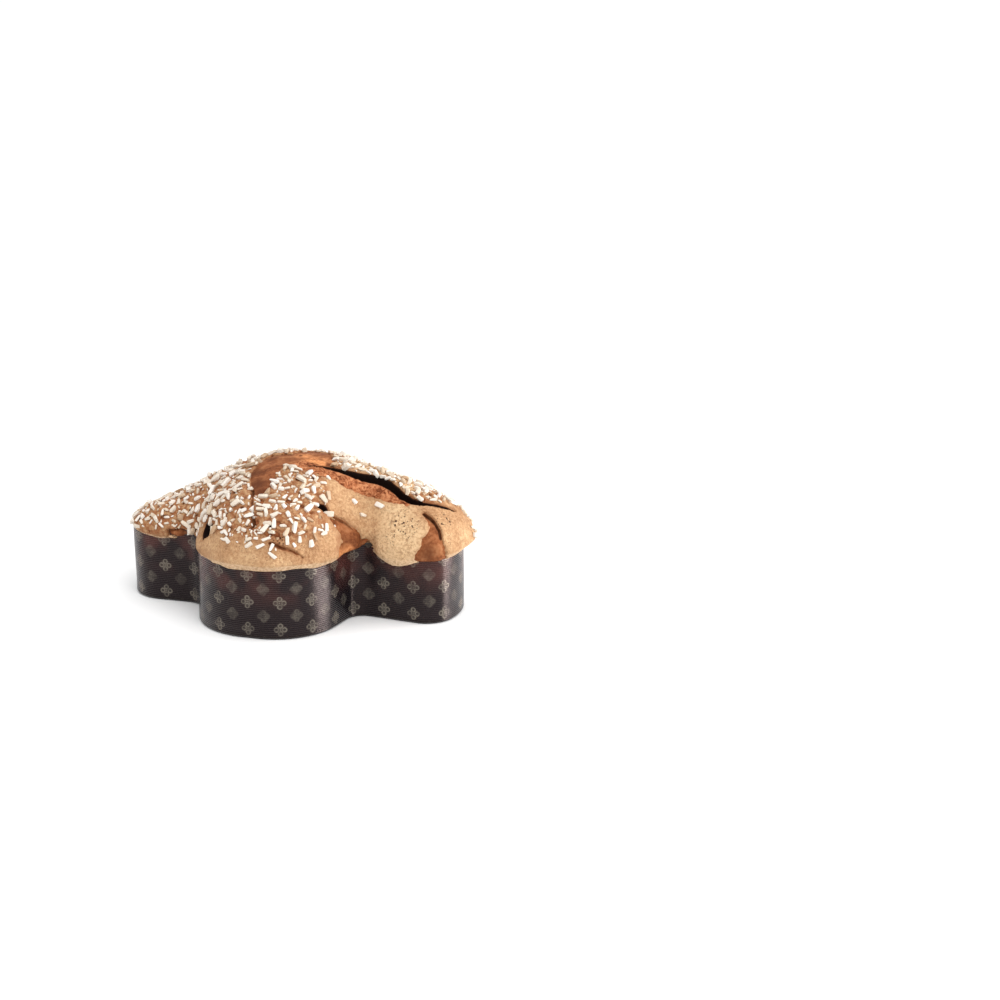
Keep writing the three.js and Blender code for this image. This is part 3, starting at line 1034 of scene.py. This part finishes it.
def floor_finish():
    finish = Finish("pale_floor")
    return finish.set(Base_Color=FLOOR_WHITE, Roughness=0.9)


# ---------------------------------------------------------------- the studio

def add_camera():
    """A level camera that sees the look point at its pixel, along the view's azimuth and elevation."""
    level = math.cos(ELEVATION)
    toward = Vector((-math.sin(AZIMUTH) * level, math.cos(AZIMUTH) * level, -math.sin(ELEVATION)))
    u = (LOOK_PIXEL[0] - IMAGE_SIZE / 2) / FOCAL_PIXELS
    v = (LOOK_PIXEL[1] - IMAGE_SIZE / 2) / FOCAL_PIXELS
    drop = -toward.z * math.sqrt(1 + u * u + v * v)
    pitch = math.asin(drop / math.hypot(1, v)) - math.atan2(v, 1)
    yaw = math.atan2(toward.x, toward.y) - math.atan2(u, math.cos(pitch) - v * math.sin(pitch))
    forward = Vector((math.sin(yaw) * math.cos(pitch), math.cos(yaw) * math.cos(pitch), -math.sin(pitch)))
    right = Vector((math.cos(yaw), -math.sin(yaw), 0))
    axes = Matrix((right, right.cross(forward), -forward)).transposed()
    data = bpy.data.cameras.new("camera")
    data.sensor_width = SENSOR_WIDTH
    data.lens = SENSOR_WIDTH * FOCAL_PIXELS / IMAGE_SIZE
    camera = bpy.data.objects.new("camera", data)
    camera.matrix_world = Matrix.Translation(LOOK_POINT - toward * DISTANCE) @ axes.to_4x4()
    bpy.context.collection.objects.link(camera)
    bpy.context.scene.camera = camera


def add_softbox(name, azimuth, elevation, distance, size, power):
    """A light of the given width and height aimed at the cake. Azimuth 0 is the near side, 90 the tail's."""
    a, e = math.radians(azimuth), math.radians(elevation)
    toward_light = Vector((math.sin(a) * math.cos(e), -math.cos(a) * math.cos(e), math.sin(e)))
    data = bpy.data.lights.new(name, "AREA")
    data.shape = "RECTANGLE"
    data.size, data.size_y = size
    data.energy = power
    light = bpy.data.objects.new(name, data)
    light.location = LIGHT_TARGET + toward_light * distance
    light.rotation_euler = toward_light.to_track_quat("Z", "Y").to_euler()
    bpy.context.collection.objects.link(light)


def add_floor():
    select_none()
    bpy.ops.mesh.primitive_plane_add(size=FLOOR_SIZE, location=(0, 0, -FLOOR_DROP))
    floor = bpy.context.object
    floor.name = "floor"
    floor.data.materials.append(floor_finish())


def add_skylight(power, spread):
    """Even light from overhead."""
    data = bpy.data.lights.new("skylight", "SUN")
    data.energy = power
    data.angle = math.radians(spread)
    light = bpy.data.objects.new("skylight", data)
    bpy.context.collection.objects.link(light)


def add_world():
    world = bpy.data.worlds.new("soft_room")
    world.use_nodes = True
    backdrop = world.node_tree.nodes["Background"]
    backdrop.inputs["Color"].default_value = (1, 1, 1, 1)
    backdrop.inputs["Strength"].default_value = ROOM_LIGHT
    bpy.context.scene.world = world


# ---------------------------------------------------------------- assembly

def keep(piece, finish, slot, *nodes, crease=180):
    """Gives a finished piece its material and its place in the frame."""
    piece.data.materials.clear()
    piece.data.materials.append(finish)
    select_only(piece)
    bpy.ops.object.shade_smooth_by_angle(angle=math.radians(crease))
    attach(piece, "root")
    if nodes:
        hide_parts(*nodes)


add_camera()
outline = case_outline()
body = cake_body(outline)
refine_edges(body)
crust = crust_piece(body, outline)
glaze = glaze_piece(body, outline)
sugar = sugar_piece(glaze)
apply_modifier(glaze, "SOLIDIFY", thickness=GLAZE_SHELL, offset=-1)
bpy.data.objects.remove(body)
paper = paper_piece(outline)

keep(crust, crust_finish(), "crust", "cake")
keep(glaze, glaze_finish(), "almond_glaze")
keep(sugar, sugar_finish(), "sugar", crease=35)
keep(paper, paper_finish(outline), "case_paper", "paper_case", crease=20)

add_floor()
add_world()
add_skylight(SKY_POWER, SKY_SPREAD)
for softbox in SOFTBOXES:
    add_softbox(*softbox)
bpy.context.scene.view_settings.view_transform = "Standard"
